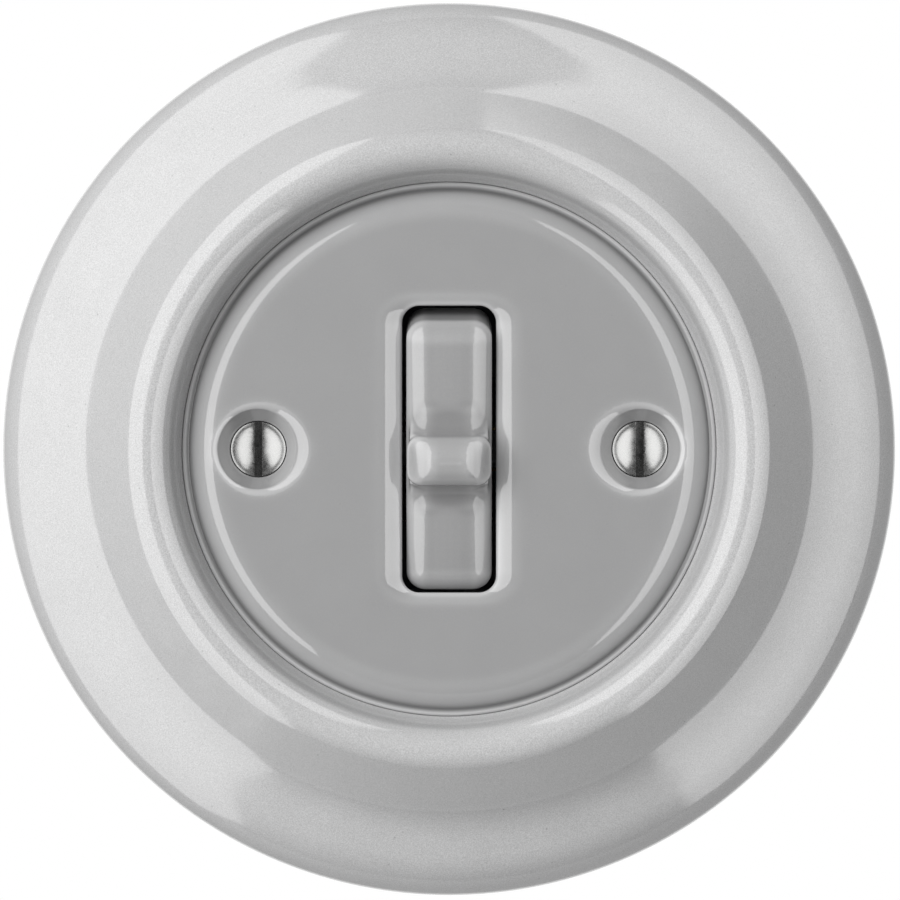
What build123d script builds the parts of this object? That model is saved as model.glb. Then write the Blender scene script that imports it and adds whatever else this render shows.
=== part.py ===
from build123d import *
from math import asin, cos, degrees, radians, sin, sqrt, tan
import os

# A round porcelain toggle switch for a flush wall box, in millimetres.
# X is right, Z is up and Y runs into the wall, whose surface is the plane y = 0.
# A height is a distance out of the wall, so a height of 5 lies at y = -5.

# Porcelain cover plate
plate_radius = 29.6
face_height = 13.6
face_dome_radius = 700.0
shoulder_round = 2.4
shoulder_tilt = 48.0
bevel_width = 0.55
plate_lip_width = 0.75
plate_lip_round = 0.45
seat_height = 9.5
spigot_radius = 26.2
spigot_depth = 0.7

# Porcelain outer frame, a ring of ogee section
plate_gap = 0.4
throat_tilt = 75.0
lip_offset = 3.4
lip_round = 2.6
frame_height = 17.5
slope_tilt = 56.0
slope_width = 4.13
cove_round = 8.4
brim_tilt = 22.0
brim_width = 1.9
edge_round = 7.4
foot_width = 5.0
frame_wall = 4.0
flange_thickness = 3.5
spigot_clearance = 0.3

# Opening round the toggle
opening_side_gap = 0.5
opening_end_gap = 0.1
opening_corner_round = 1.2
opening_draft = 5.0
opening_rim_round = 1.9

# Porcelain toggle, measured from the pivot
toggle_tilt = 7.0
pivot_height = 6.5
toggle_width = 9.5
toggle_end_radius = 15.75
toggle_underside = 1.8
toggle_crown = 8.75
toggle_crown_radius = 74.0
toggle_corner_round = 2.4
toggle_edge_round = 2.2
roll_centre = 10.4
roll_radius = 2.73
roll_width = 9.3
roll_end_round = 1.9
neck_round = 1.4
neck_width = 7.2
socket_width = 5.0
socket_length = 20.0
socket_depth = 3.5

# Carrier under the toggle
tongue_clearance = 0.1
hub_radius = 2.1
hub_side_gap = 0.2
platform_width = 7.8
platform_length = 24.0
platform_thickness = 1.5
stop_arm_length = 10.5
stop_length = 2.0
stop_clearance = 0.035
stem_radius = 3.0
stem_length = 9.7
stem_bore_radius = 1.8
stem_bore_floor = 2.2

# Pivot pin
pin_radius = 1.25
pin_length = 17.0
pin_running_clearance = 0.05
pin_fit_clearance = 0.015

# Plunger and its spring
plunger_tip_reach = 12.5
plunger_tip_round = 1.2
plunger_clearance = 0.08
plunger_length = 5.3
plunger_nose_length = 0.7
spring_outer_radius = 1.6
spring_wire_radius = 0.22
spring_turns = 5.5
spring_end_clearance = 0.03

# Rocking contact blade
blade_rock = 8.0
blade_thickness = 1.0
blade_width = 6.0
blade_end_margin = 2.4
blade_corner_round = 1.0
plunger_blade_clearance = 0.03
contact_reach = 11.0
contact_dome = 0.6
contact_gap = 0.03
contact_head_radius = 1.7
contact_shank_radius = 0.9
contact_peen_radius = 1.3
contact_peen_height = 0.3
contact_hole_clearance = 0.02
fixed_contact_height = 0.5

# Terminals and their strips
strip_thickness = 1.0
strip_width = 5.0
strip_overlap = 2.6
terminal_x = 13.8
terminal_width = 7.6
terminal_recess = 2.0
terminal_clearance = 0.1
wire_bore_radius = 1.8
wire_bore_depth = 6.8
saddle_round = 0.5
saddle_width = 4.4
saddle_clearance = 0.02
saddle_ear_width = 0.6
saddle_ear_rise = 0.75
saddle_notch_clearance = 0.35

# Moulded base in the wall
base_width = 42.0
base_depth = 20.0
base_corner = 6.0
chamber_width = 11.0
chamber_end_gap = 1.6
rear_cover_thickness = 2.0
rear_cover_clearance = 0.1

# Steel mounting strap
strap_width = 71.0
strap_corner = 12.0
strap_thickness = 1.2
strap_opening_width = 34.0
strap_opening_length = 37.0
strap_fit_clearance = 0.15
box_screw_spacing = 60.0
box_slot_radius = 1.9
box_slot_length = 7.0

# Bearing bridge over the strap
bridge_lap = 1.2
bridge_end_lap = 2.0
bridge_thickness = 2.0
bridge_window_length = 16.0
bridge_window_width = 10.4
cheek_gap = 11.8
cheek_thickness = 2.8
cheek_length = 8.0
cheek_rise = 1.9
bridge_screw_x = 12.5
bridge_screw_z = 14.5

# Screws and posts
cover_screw_x = 21.13
cup_mouth_radius = 4.45
cup_bore_radius = 3.4
cup_step_height = 11.7
cup_seat_height = 10.6
cup_hole_radius = 1.75
cup_rim_round = 0.35
cover_head_radius = 3.07
cover_head_edge = 0.75
cover_head_rise = 1.15
cover_slot_width = 1.1
cover_slot_depth = 0.95
cover_shank_length = 8.5
screw_radius = 1.45
screw_hole_clearance = 0.02
screw_way_clearance = 0.3
post_radius = 2.75
post_gap = 0.6
post_rivet_radius = 1.8
post_floor = 0.5
bridge_head_radius = 2.8
bridge_head_edge = 0.5
bridge_head_rise = 0.9
bridge_slot_width = 0.8
bridge_slot_depth = 0.7
bridge_shank_length = 8.2
terminal_head_radius = 2.9
terminal_head_edge = 1.2
terminal_head_rise = 0.4
terminal_shank_length = 3.2
terminal_screw_inset = 1.9

# Sizes that follow from those above
well_radius = plate_radius + plate_gap
flange_radius = spigot_radius + spigot_clearance
plate_underside = seat_height - spigot_depth
opening_half_length = toggle_end_radius + opening_end_gap
opening_width = toggle_width + 2 * opening_side_gap
blade_half_length = contact_reach + blade_end_margin
chamber_length = 2 * (blade_half_length + chamber_end_gap)
blade_pivot_depth = plunger_tip_reach - pivot_height + plunger_blade_clearance + blade_thickness
strip_front = (
    blade_pivot_depth
    + contact_dome * cos(radians(blade_rock))
    + contact_reach * sin(radians(blade_rock))
    + contact_gap
    + fixed_contact_height
)
strip_back = strip_front + strip_thickness
terminal_back = base_depth - terminal_recess
bridge_top = strap_thickness + bridge_thickness
cheek_top = pivot_height + cheek_rise
notch_inner = terminal_x - terminal_width / 2 - terminal_clearance

# Sections are drawn as (radius, height) and turned round the switch's axis
turning_plane = Plane(origin=(0, 0, 0), x_dir=(1, 0, 0), z_dir=(0, 0, -1))
# Side outlines are drawn as (z, height) and run across the switch
side_plane = Plane(origin=(0, 0, 0), x_dir=(0, 0, 1), z_dir=(1, 0, 0))
# Outlines seen from the front are drawn as (x, z) and run out of the wall
front_plane = Plane(origin=(0, 0, 0), x_dir=(1, 0, 0), z_dir=(0, -1, 0))


def slab(width, length, top, bottom, x=0.0, z=0.0):
    """A box between two heights, centred at x and z."""
    return Pos(x, -(top + bottom) / 2, z) * Box(width, top - bottom, length)


def rod(radius, top, bottom, x=0.0, z=0.0):
    """A round bar that stands out of the wall between two heights."""
    return Pos(x, -(top + bottom) / 2, z) * Rot(90, 0, 0) * Cylinder(radius, top - bottom)


def cross_rod(radius, length, height=0.0, x=0.0, z=0.0):
    """A round bar along X, centred at x."""
    return Pos(x, -height, z) * Rot(0, 90, 0) * Cylinder(radius, length)


def outlined(sketch, top, bottom):
    """A front outline given a thickness between two heights."""
    return Pos(0, -bottom, 0) * extrude(front_plane * sketch, amount=top - bottom)


def flared(sketch, top, bottom, draft):
    """A front outline given a thickness between two heights, wider outwards by a draft angle."""
    return Pos(0, -bottom, 0) * extrude(front_plane * sketch, amount=top - bottom, taper=-draft)


def turned(outline):
    """A section turned round the switch's axis, with its seam on a diagonal."""
    return Rot(0, 45, 0) * revolve(turning_plane * make_face(outline), Axis.Y)


def on_arc(centre, radius, tilt):
    """The point of a circle whose normal leans outwards by a tilt from straight out of the wall."""
    lean = radians(tilt)
    return (centre[0] + radius * sin(lean), centre[1] + radius * cos(lean))


def arc(centre, radius, from_tilt, to_tilt):
    """An arc between two tilts of its normal."""
    return ThreePointArc(
        on_arc(centre, radius, from_tilt),
        on_arc(centre, radius, (from_tilt + to_tilt) / 2),
        on_arc(centre, radius, to_tilt),
    )


def outer_frame():
    """The ring: its lip, steep slope, cove, brim and rounded edge, over a hollow back."""
    lip_centre = (well_radius + lip_offset, frame_height - lip_round)
    throat_top = on_arc(lip_centre, lip_round, -throat_tilt)
    throat_drop = (throat_top[0] - well_radius) * tan(radians(throat_tilt))
    slope_top = on_arc(lip_centre, lip_round, slope_tilt)
    slope_fall = tan(radians(slope_tilt))
    slope_foot = (slope_top[0] + slope_width, slope_top[1] - slope_width * slope_fall)
    cove_centre = on_arc(slope_foot, cove_round, slope_tilt)
    brim_fall = tan(radians(brim_tilt))
    brim_top = on_arc(cove_centre, -cove_round, brim_tilt)
    brim_foot = (brim_top[0] + brim_width, brim_top[1] - brim_width * brim_fall)
    edge_centre = on_arc(brim_foot, -edge_round, brim_tilt)
    edge_side = (edge_centre[0] + edge_round, edge_centre[1])
    below_wall = edge_centre[1] - edge_round
    foot_inner = edge_side[0] - foot_width
    hollow_inner = well_radius + frame_wall
    flange_underside = seat_height - flange_thickness
    # The hollow's roof follows the slope and the brim at the wall's thickness
    slope_roof = slope_foot[1] - frame_wall / cos(radians(slope_tilt))
    brim_roof = brim_top[1] - frame_wall / cos(radians(brim_tilt))
    roof_bend = (
        slope_roof - brim_roof + slope_foot[0] * slope_fall - brim_top[0] * brim_fall
    ) / (slope_fall - brim_fall)
    outline = [
        arc(edge_centre, edge_round, 90, brim_tilt),
        Line(brim_foot, brim_top),
        arc(cove_centre, -cove_round, brim_tilt, slope_tilt),
        Line(slope_foot, slope_top),
        arc(lip_centre, lip_round, slope_tilt, -throat_tilt),
        Polyline(
            throat_top,
            (well_radius, throat_top[1] - throat_drop),
            (well_radius, seat_height),
            (flange_radius, seat_height),
            (flange_radius, flange_underside),
            (hollow_inner, flange_underside),
            (hollow_inner, slope_roof + (slope_foot[0] - hollow_inner) * slope_fall),
            (roof_bend, brim_roof - (roof_bend - brim_top[0]) * brim_fall),
            (foot_inner, brim_roof - (foot_inner - brim_top[0]) * brim_fall),
            (foot_inner, below_wall),
            (edge_side[0], below_wall),
            edge_side,
        ),
    ]
    behind_wall = rod(edge_side[0] + edge_round, 0, below_wall - edge_round)
    return turned(outline) - behind_wall


def opening_rim(plate):
    """The front edges of the toggle's opening."""
    reach_x = opening_width / 2 + opening_corner_round
    reach_z = opening_half_length + opening_corner_round
    return [
        edge
        for edge in plate.edges()
        if abs(edge.center().X) < reach_x
        and abs(edge.center().Z) < reach_z
        and edge.bounding_box().max.Y < -(face_height + seat_height) / 2
    ]


def screw_cup(side):
    """The sunk seat of a cover screw, as the space that it takes out of the plate."""
    mouth_height = face_height - cover_screw_x**2 / (2 * face_dome_radius)
    flare = (cup_mouth_radius - cup_bore_radius) / (mouth_height - cup_step_height)
    above = mouth_height + cup_rim_round
    outline = Polyline(
        (0, plate_underside - spigot_depth),
        (cup_hole_radius, plate_underside - spigot_depth),
        (cup_hole_radius, cup_seat_height),
        (cup_bore_radius, cup_seat_height),
        (cup_bore_radius, cup_step_height),
        (cup_bore_radius + (above - cup_step_height) * flare, above),
        (0, above),
        close=True,
    )
    return Pos(side * cover_screw_x, 0, 0) * turned(outline)


def cup_rims(plate):
    """The front edges of the two screw cups."""
    return [
        edge
        for edge in plate.edges()
        if abs(abs(edge.bounding_box().center().X) - cover_screw_x) < cup_bore_radius
        and edge.bounding_box().max.Y < -cup_step_height - cup_rim_round
    ]


def cover_plate():
    """The domed plate with its shoulder, its thin lip, the toggle's opening and two screw cups."""
    dome_centre = (0, face_height - face_dome_radius)
    lip_inner = plate_radius - plate_lip_width
    shoulder_foot_radius = lip_inner - bevel_width
    shoulder_centre_radius = shoulder_foot_radius - shoulder_round * sin(radians(shoulder_tilt))
    inner_dome = face_dome_radius - shoulder_round
    dome_tilt = degrees(asin(shoulder_centre_radius / inner_dome))
    shoulder_centre = on_arc(dome_centre, inner_dome, dome_tilt)
    shoulder_foot = on_arc(shoulder_centre, shoulder_round, shoulder_tilt)
    lip_height = shoulder_foot[1] - bevel_width * tan(radians(shoulder_tilt))
    lip_centre = (plate_radius - plate_lip_round, lip_height - plate_lip_round)
    outline = [
        arc(dome_centre, face_dome_radius, 0, dome_tilt),
        arc(shoulder_centre, shoulder_round, dome_tilt, shoulder_tilt),
        Polyline(shoulder_foot, (lip_inner, lip_height), on_arc(lip_centre, plate_lip_round, 0)),
        arc(lip_centre, plate_lip_round, 0, 90),
        Polyline(
            on_arc(lip_centre, plate_lip_round, 90),
            (plate_radius, seat_height),
            (spigot_radius, seat_height),
            (spigot_radius, plate_underside),
            (0, plate_underside),
            (0, face_height),
        ),
    ]
    opening = RectangleRounded(opening_width, 2 * opening_half_length, opening_corner_round)
    plate = turned(outline)
    plate -= flared(opening, face_height + spigot_depth, plate_underside, opening_draft)
    for side in (-1, 1):
        plate -= screw_cup(side)
    plate = fillet(opening_rim(plate), opening_rim_round)
    return fillet(cup_rims(plate), cup_rim_round)


def tilted(piece):
    """Put a piece that is drawn round the pivot at its place, tilted as the switch rests."""
    return Pos(0, -pivot_height, 0) * Rot(toggle_tilt, 0, 0) * piece


def toggle_neck():
    """The concave fillets that join the roll to the toggle's crowned face, run across it."""
    crown_drop = (roll_radius + neck_round) ** 2 / (2 * toggle_crown_radius)
    face = toggle_crown - crown_drop
    fillet_height = face + neck_round
    rise = roll_centre - fillet_height
    reach = sqrt((roll_radius + neck_round) ** 2 - rise**2)
    outline = Polyline(
        (-reach, face - neck_round),
        (-reach, fillet_height),
        (0, roll_centre),
        (reach, fillet_height),
        (reach, face - neck_round),
        close=True,
    )
    section = make_face(outline)
    section -= Pos(reach, fillet_height) * Circle(neck_round)
    section -= Pos(-reach, fillet_height) * Circle(neck_round)
    return extrude(side_plane * section, amount=neck_width / 2, both=True)


def toggle():
    """The porcelain toggle: a crowned bar with a roll across its middle, hollow underneath."""
    crown = cross_rod(toggle_crown_radius, toggle_width, toggle_crown - toggle_crown_radius)
    ends = cross_rod(toggle_end_radius, toggle_width)
    top = toggle_crown + roll_radius
    bar = slab(toggle_width, 2 * toggle_end_radius, top, toggle_underside) & crown & ends
    corners = [
        edge
        for edge in bar.edges().filter_by(GeomType.CIRCLE)
        if abs(edge.radius - toggle_end_radius) < toggle_edge_round
    ]
    bar = fillet(corners, toggle_corner_round)
    bar = fillet(bar.faces().sort_by(Axis.Y)[0].edges(), toggle_edge_round)
    roll = cross_rod(roll_radius, roll_width, roll_centre)
    roll = fillet(roll.edges().filter_by(GeomType.CIRCLE), roll_end_round)
    body = bar + roll + toggle_neck()
    body -= cross_rod(hub_radius + tongue_clearance, toggle_width + hub_radius)
    body -= slab(
        socket_width, socket_length, toggle_underside + socket_depth, toggle_underside - socket_depth
    )
    return tilted(body)


def toggle_carrier():
    """The moulded carrier: hub, platform, tongue, two stop arms and the tubular stem."""
    tongue_top = toggle_underside + socket_depth - 3 * tongue_clearance
    tongue_width = socket_width - 2 * tongue_clearance
    tongue_length = socket_length - 2 * tongue_clearance
    swing = radians(toggle_tilt)
    stop_drop = (pivot_height - bridge_top - stop_clearance - stop_arm_length * sin(swing)) / cos(swing)
    platform_back = toggle_underside - platform_thickness
    body = cross_rod(hub_radius, cheek_gap - 2 * hub_side_gap)
    body += slab(platform_width, platform_length, toggle_underside, platform_back)
    body += slab(tongue_width, tongue_length, tongue_top, platform_back)
    for side in (-1, 1):
        arm_z = side * (stop_arm_length - stop_length / 2)
        body += slab(platform_width, stop_length, platform_back, -stop_drop, 0, arm_z)
    body += rod(stem_radius, 0, -stem_length)
    body -= cross_rod(pin_radius + pin_running_clearance, cheek_gap)
    body -= rod(stem_bore_radius, -stem_bore_floor, -stem_length - stem_radius)
    return tilted(body)


def plunger():
    """The plunger in the stem, with a rounded nose that rides on the blade."""
    radius = stem_bore_radius - plunger_clearance
    nose_centre = (0, plunger_tip_round - plunger_tip_reach)
    tail = plunger_length - plunger_tip_reach
    outline = [
        Polyline(
            (0, nose_centre[1] - plunger_tip_round),
            (0, tail),
            (radius, tail),
            (radius, nose_centre[1] + plunger_nose_length),
            on_arc(nose_centre, plunger_tip_round, 90),
        ),
        arc(nose_centre, plunger_tip_round, 90, 180),
    ]
    return tilted(turned(outline))


def plunger_spring():
    """The coil spring between the floor of the stem's bore and the plunger."""
    room = plunger_tip_reach - plunger_length - stem_bore_floor
    height = room - 2 * (spring_wire_radius + spring_end_clearance)
    coil = Helix(height / spring_turns, height, spring_outer_radius - spring_wire_radius)
    wire = Plane(origin=coil @ 0, z_dir=coil % 0) * Circle(spring_wire_radius)
    spring = Rot(90, 0, 0) * sweep(wire, path=coil, is_frenet=True)
    lowest = plunger_tip_reach - plunger_length - spring_wire_radius - spring_end_clearance
    return tilted(Pos(0, lowest, 0) * spring)


def pivot_pin():
    return cross_rod(pin_radius, pin_length, pivot_height)


def rocked(piece):
    """Put a piece that is drawn round the blade's rocking line at its place as the switch rests."""
    return Pos(0, blade_pivot_depth, 0) * Rot(-blade_rock, 0, 0) * piece


def contact_blade():
    """The blade that rocks on the saddle, with a hole at each contact and a notch for each ear."""
    plan = RectangleRounded(blade_width, 2 * blade_half_length, blade_corner_round)
    body = outlined(plan, blade_thickness, 0)
    notch_width = blade_width - saddle_width
    notch_length = 2 * (saddle_round + saddle_notch_clearance)
    for side in (-1, 1):
        hole = contact_shank_radius + contact_hole_clearance
        body -= rod(hole, 2 * blade_thickness, -blade_thickness, 0, side * contact_reach)
        body -= slab(
            notch_width, notch_length, 2 * blade_thickness, -blade_thickness, side * blade_width / 2, 0
        )
    return rocked(body)


def moving_contacts():
    """Two silver rivets in the blade, domed on the back and riveted over on the front."""
    dome_radius = (contact_head_radius**2 + contact_dome**2) / (2 * contact_dome)
    rivets = []
    for side in (-1, 1):
        head = rod(contact_head_radius, 0, -contact_dome) & (
            Pos(0, contact_dome - dome_radius, 0) * Sphere(dome_radius)
        )
        rivet = head + rod(contact_shank_radius, blade_thickness, 0)
        rivet += rod(contact_peen_radius, blade_thickness + contact_peen_height, blade_thickness)
        rivets.append(rocked(Pos(0, 0, side * contact_reach) * rivet))
    return Compound(children=rivets)


def fixed_contacts():
    """Two silver rivets in the switched strips, facing the blade."""
    rivets = []
    for side in (-1, 1):
        z = side * contact_reach
        rivet = rod(contact_head_radius, fixed_contact_height - strip_front, -strip_front, 0, z)
        rivet += rod(contact_shank_radius, -strip_front, -strip_back, 0, z)
        rivet += rod(contact_peen_radius, -strip_back, -strip_back - contact_peen_height, 0, z)
        rivets.append(rivet)
    return Compound(children=rivets)


def terminal(side, z):
    """A brass block for one wire, with its strip that runs to the middle of the chamber."""
    x = side * terminal_x
    body = slab(terminal_width, terminal_width, -strip_front, -terminal_back, x, z)
    strip_length = terminal_x + strip_overlap
    strip_middle = side * (terminal_x - strip_overlap) / 2
    body += slab(strip_length, strip_width, -strip_front, -strip_back, strip_middle, z)
    body -= rod(wire_bore_radius, wire_bore_depth - terminal_back, -terminal_back, x, z)
    hole_radius = screw_radius + screw_hole_clearance
    hole_x = side * (terminal_x + terminal_width / 2)
    body -= cross_rod(hole_radius, terminal_width, -terminal_screw_depth(), hole_x, z)
    return body


def terminal_screw_depth():
    """How deep in the wall the terminal screws cross their wire bores."""
    return terminal_back - wire_bore_depth / 2


def switched_terminal(z):
    body = terminal(-1, z)
    hole = contact_shank_radius + contact_hole_clearance
    return body - rod(hole, 0, -2 * strip_back, 0, z)


def common_terminal():
    """The feed terminal, whose strip carries the saddle that the blade rocks on."""
    body = terminal(1, 0)
    ridge_height = -blade_pivot_depth - saddle_clearance
    crest_centre = ridge_height - saddle_round
    body += slab(saddle_width, 2 * saddle_round, crest_centre, -strip_front)
    body += cross_rod(saddle_round, saddle_width, crest_centre)
    for side in (-1, 1):
        ear_x = side * (saddle_width + saddle_ear_width) / 2
        ear_top = ridge_height + saddle_ear_rise
        body += slab(saddle_ear_width, 2 * saddle_round, ear_top, -strip_front, ear_x, 0)
    return body


def switch_base():
    """The moulded base: contact chamber, three terminal bays, strip slots and the front collar."""
    plan = chamfer(Rectangle(base_width, base_width).vertices(), base_corner)
    body = outlined(plan, 0, -base_depth)
    collar_width = strap_opening_width - 2 * strap_fit_clearance
    collar_length = strap_opening_length - 2 * strap_fit_clearance
    body += slab(collar_width, collar_length, strap_thickness, 0)
    body -= slab(chamber_width, chamber_length, 2 * strap_thickness, -2 * base_depth)
    bay_width = terminal_width + 2 * terminal_clearance
    for side, z in ((-1, -contact_reach), (-1, contact_reach), (1, 0)):
        bay_length = base_width - notch_inner
        bay_x = side * (notch_inner + bay_length / 2)
        body -= slab(bay_length, bay_width, -strip_front, -2 * base_depth, bay_x, z)
        slot_x = side * notch_inner / 2
        slot_width = strip_width + 2 * terminal_clearance
        body -= slab(notch_inner, slot_width, -strip_front, -2 * base_depth, slot_x, z)
    for side in (-1, 1):
        hole_back = bridge_top - bridge_shank_length - screw_way_clearance
        body -= rod(
            screw_radius + screw_hole_clearance,
            2 * strap_thickness,
            hole_back,
            -side * bridge_screw_x,
            side * bridge_screw_z,
        )
    return body


def rear_cover():
    """The lid on the back of the chamber, with a tongue behind each strip."""
    gap = 2 * rear_cover_clearance
    lid_back = -base_depth
    lid_front = rear_cover_thickness - base_depth
    body = slab(chamber_width - gap, chamber_length - gap, lid_front, lid_back)
    for side, z in ((-1, -contact_reach), (-1, contact_reach), (1, 0)):
        reach = notch_inner - rear_cover_clearance
        width = strip_width - gap
        inner = chamber_width / 2 + rear_cover_clearance
        body += slab(reach, width, lid_front, lid_back, side * reach / 2, z)
        tongue_x = side * (inner + reach) / 2
        body += slab(reach - inner, width, -strip_back, lid_back, tongue_x, z)
    return body


def mounting_strap():
    """The flat steel strap: clipped corners, the base's opening, four box slots and two post holes."""
    plan = chamfer(Rectangle(strap_width, strap_width).vertices(), strap_corner)
    plan -= Rectangle(strap_opening_width, strap_opening_length)
    slot = SlotOverall(box_slot_length, 2 * box_slot_radius)
    for side in (-1, 1):
        plan -= Pos(side * box_screw_spacing / 2, 0) * slot
        plan -= Pos(0, side * box_screw_spacing / 2) * Rot(0, 0, 90) * slot
        plan -= Pos(side * cover_screw_x, 0) * Circle(post_rivet_radius + screw_hole_clearance)
    return outlined(plan, strap_thickness, 0)


def bearing_bridge():
    """The plate that clamps the strap to the base and carries the pin between two cheeks."""
    plate_width = strap_opening_width + 2 * bridge_lap
    plate_length = strap_opening_length + 2 * bridge_end_lap
    body = slab(plate_width, plate_length, bridge_top, strap_thickness)
    for side in (-1, 1):
        cheek_x = side * (cheek_gap + cheek_thickness) / 2
        body += slab(cheek_thickness, cheek_length, cheek_top, strap_thickness, cheek_x)
    body -= slab(bridge_window_width, bridge_window_length, 2 * bridge_top, 0)
    body -= cross_rod(pin_radius + pin_fit_clearance, plate_width, pivot_height)
    for side in (-1, 1):
        hole = screw_radius + screw_way_clearance
        body -= rod(hole, 2 * bridge_top, 0, -side * bridge_screw_x, side * bridge_screw_z)
    return body


def slotted_screw(head_radius, edge, rise, shank_length, slot_width, slot_depth):
    """A slotted screw with a domed head, drawn with its seat at the origin."""
    top = edge + rise
    dome_radius = (head_radius**2 + rise**2) / (2 * rise)
    body = rod(head_radius, top, 0) & (Pos(0, dome_radius - top, 0) * Sphere(dome_radius))
    body += rod(screw_radius, edge, -shank_length)
    return body - slab(slot_width, 3 * head_radius, 2 * top, top - slot_depth)


def cover_screws():
    screw = slotted_screw(
        cover_head_radius,
        cover_head_edge,
        cover_head_rise,
        cover_shank_length,
        cover_slot_width,
        cover_slot_depth,
    )
    return Compound(
        children=[Pos(side * cover_screw_x, -cup_seat_height, 0) * screw for side in (-1, 1)]
    )


def cover_posts():
    """Two brass posts riveted in the strap, tapped for the cover screws."""
    post_top = plate_underside - post_gap
    posts = []
    for side in (-1, 1):
        x = side * cover_screw_x
        post = rod(post_radius, post_top, strap_thickness, x)
        post += rod(post_rivet_radius, strap_thickness, 0, x)
        hole = screw_radius + screw_hole_clearance
        post -= rod(hole, 2 * post_top, strap_thickness + post_floor, x)
        posts.append(post)
    return Compound(children=posts)


def bridge_screws():
    screw = slotted_screw(
        bridge_head_radius,
        bridge_head_edge,
        bridge_head_rise,
        bridge_shank_length,
        bridge_slot_width,
        bridge_slot_depth,
    )
    return Compound(
        children=[
            Pos(-side * bridge_screw_x, -bridge_top, side * bridge_screw_z) * screw
            for side in (-1, 1)
        ]
    )


def terminal_screws():
    """One screw in each terminal, backed off as it leaves the wire bore free."""
    screw = slotted_screw(
        terminal_head_radius,
        terminal_head_edge,
        terminal_head_rise,
        terminal_shank_length,
        bridge_slot_width,
        bridge_slot_depth,
    )
    seat_x = terminal_x + terminal_width / 2 + terminal_shank_length - terminal_screw_inset
    screws = []
    for side, z in ((-1, -contact_reach), (-1, contact_reach), (1, 0)):
        turn = Rot(0, 0, side * 90)
        screws.append(Pos(side * seat_x, terminal_screw_depth(), z) * turn * screw)
    return Compound(children=screws)


pieces = {
    "outer_frame": outer_frame(),
    "cover_plate": cover_plate(),
    "cover_screws": cover_screws(),
    "cover_posts": cover_posts(),
    "mounting_strap": mounting_strap(),
    "switch_base": switch_base(),
    "rear_cover": rear_cover(),
    "bearing_bridge": bearing_bridge(),
    "bridge_screws": bridge_screws(),
    "pivot_pin": pivot_pin(),
    "toggle": toggle(),
    "toggle_carrier": toggle_carrier(),
    "plunger": plunger(),
    "plunger_spring": plunger_spring(),
    "contact_blade": contact_blade(),
    "moving_contacts": moving_contacts(),
    "fixed_contacts": fixed_contacts(),
    "common_terminal": common_terminal(),
    "upper_terminal": switched_terminal(contact_reach),
    "lower_terminal": switched_terminal(-contact_reach),
    "terminal_screws": terminal_screws(),
}

os.makedirs("parts", exist_ok=True)
for name, piece in pieces.items():
    export_step(piece, f"parts/{name}.step")
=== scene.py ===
import bpy
import numpy as np
from math import acos, asin, atan2, cos, degrees, exp, log, pi, radians, sin, sqrt, tan
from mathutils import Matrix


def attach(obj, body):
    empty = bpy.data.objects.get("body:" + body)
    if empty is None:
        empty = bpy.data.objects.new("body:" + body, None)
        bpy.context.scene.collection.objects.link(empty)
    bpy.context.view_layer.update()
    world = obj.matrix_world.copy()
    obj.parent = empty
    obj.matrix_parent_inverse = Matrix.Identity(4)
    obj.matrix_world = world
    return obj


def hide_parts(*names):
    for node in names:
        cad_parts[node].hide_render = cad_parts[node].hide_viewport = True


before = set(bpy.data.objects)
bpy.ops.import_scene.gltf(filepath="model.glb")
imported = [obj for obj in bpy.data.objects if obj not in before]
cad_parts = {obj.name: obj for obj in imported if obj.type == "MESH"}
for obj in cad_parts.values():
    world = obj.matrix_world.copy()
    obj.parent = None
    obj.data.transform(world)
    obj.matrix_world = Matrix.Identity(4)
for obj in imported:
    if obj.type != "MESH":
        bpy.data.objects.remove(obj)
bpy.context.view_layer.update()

# Lengths in the dictionaries are in millimetres and angles in degrees, unless a note says otherwise.
mm = 0.001
nearly = 0.01  # places this close count as the same
past = 1.0  # how far a cutter stands out of what it cuts


def clearSelection():
    if bpy.context.mode != "OBJECT":
        bpy.ops.object.mode_set(mode="OBJECT")
    bpy.ops.object.select_all(action="DESELECT")


def makeActive(piece):
    clearSelection()
    piece.select_set(True)
    bpy.context.view_layer.objects.active = piece


def editMesh(piece, mode="VERT"):
    makeActive(piece)
    bpy.ops.object.mode_set(mode="EDIT")
    bpy.ops.mesh.select_mode(type=mode)


def leaveEdit():
    bpy.ops.object.mode_set(mode="OBJECT")


def selectEdges(piece, test):
    # selects the edges whose two ends pass the test
    leaveEdit()
    mesh = piece.data
    for part in (mesh.vertices, mesh.edges, mesh.polygons):
        part.foreach_set("select", [False] * len(part))
    for edge in mesh.edges:
        first, second = edge.vertices
        if test(mesh.vertices[first].co / mm, mesh.vertices[second].co / mm):
            edge.select = True
    bpy.ops.object.mode_set(mode="EDIT")


def applyModifiers(piece):
    makeActive(piece)
    for modifier in list(piece.modifiers):
        bpy.ops.object.modifier_apply(modifier=modifier.name)


def cutWith(piece, cutter):
    modifier = piece.modifiers.new("cut", "BOOLEAN")
    modifier.operation = "DIFFERENCE"
    modifier.solver = "EXACT"
    modifier.object = cutter
    applyModifiers(piece)
    bpy.data.objects.remove(cutter)


def joinPieces(pieces):
    makeActive(pieces[0])
    for piece in pieces[1:]:
        piece.select_set(True)
    bpy.ops.object.join()
    return bpy.context.active_object


def settle(piece, name, smoothAngle):
    # puts the place of a piece in its mesh and smooths its shading
    makeActive(piece)
    bpy.ops.object.transform_apply(location=True, rotation=True, scale=True)
    bpy.ops.object.shade_smooth_by_angle(angle=radians(smoothAngle))
    piece.name = name
    piece.data.name = name


def dress(piece, body, slot, material, *nodes):
    piece.data.materials.clear()
    piece.data.materials.append(material)
    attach(piece, body)
    if nodes:
        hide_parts(*nodes)


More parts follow.
